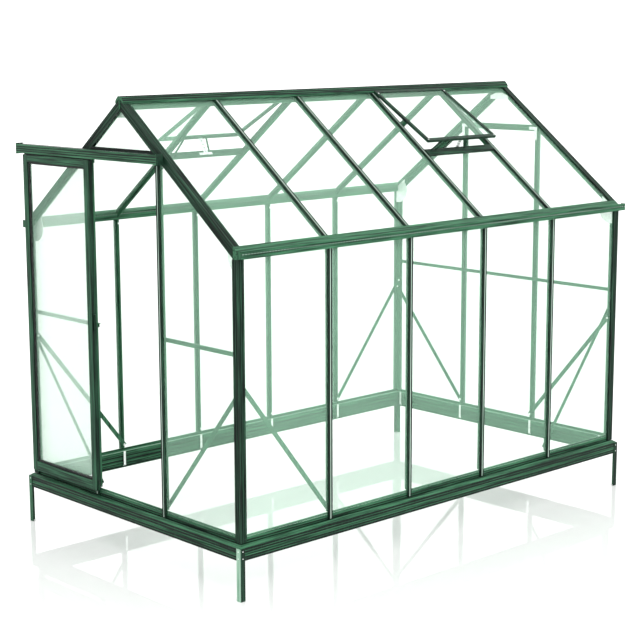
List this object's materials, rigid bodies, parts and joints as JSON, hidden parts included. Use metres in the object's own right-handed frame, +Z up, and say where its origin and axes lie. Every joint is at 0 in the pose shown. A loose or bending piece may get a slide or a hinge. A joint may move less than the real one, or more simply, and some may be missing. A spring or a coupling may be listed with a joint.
{
  "type": "greenhouse",
  "caption": "Glazed metal greenhouse with a pitched roof, opening roof vents, eave gutters, a ribbed base ring on corner stakes and a sliding gable door hung from a track.",
  "frame": {"origin": "middle of the footprint, level with the underside of the ground stakes", "axes": "+X to the right of somebody facing the door gable, +Y from the door gable to the back gable, +Z up"},
  "size_m": [1.9706, 3.2216, 2.5712],
  "materials": {
    "powder_coat": "satin green powder coat on aluminium",
    "bright_plate": "bright plated",
    "roller_plastic": "smooth black",
    "clear_glass": "clear horticultural glass"
  },
  "bodies": {
    "greenhouse": {"back_gable_bars": "powder_coat", "back_gable_glass": "clear_glass", "back_header": "powder_coat", "back_mid_rail": "powder_coat", "back_rafters": "powder_coat", "base_back": "powder_coat", "base_front": "powder_coat", "base_left": "powder_coat", "base_right": "powder_coat", "corner_posts": "powder_coat", "door_jambs": "powder_coat", "door_track": "powder_coat", "eave_gutter_left": "powder_coat", "eave_gutter_right": "powder_coat", "eave_plates": "bright_plate", "front_gable_glass": "clear_glass", "front_header": "powder_coat", "front_mid_rails": "powder_coat", "front_rafters": "powder_coat", "gable_braces": "powder_coat", "ground_stakes": "powder_coat", "left_roof_bars": "powder_coat", "left_roof_glass": "clear_glass", "left_vent_frame": "powder_coat", "left_vent_glass": "clear_glass", "left_wall_glass": "clear_glass", "ridge_bar": "powder_coat", "ridge_plates": "bright_plate", "right_roof_bars": "powder_coat", "right_roof_glass": "clear_glass", "right_vent_frame": "powder_coat", "right_vent_glass": "clear_glass", "right_wall_glass": "clear_glass", "side_wall_bars": "powder_coat", "side_wall_braces": "powder_coat", "sill_back": "powder_coat", "sill_front": "powder_coat", "sill_left": "powder_coat", "sill_right": "powder_coat", "vent_sills": "powder_coat", "vent_stays": "bright_plate"},
    "door": {"door_stiles": "powder_coat", "door_rails": "powder_coat", "door_glass": "clear_glass", "door_rollers": "roller_plastic", "door_handle": "powder_coat"}
  },
  "joints": [
    {"name": "door_slide", "type": "slide", "parent": "greenhouse", "child": "door", "axis": [1, 0, 0], "range_m": [0, 0.58]}
  ]
}
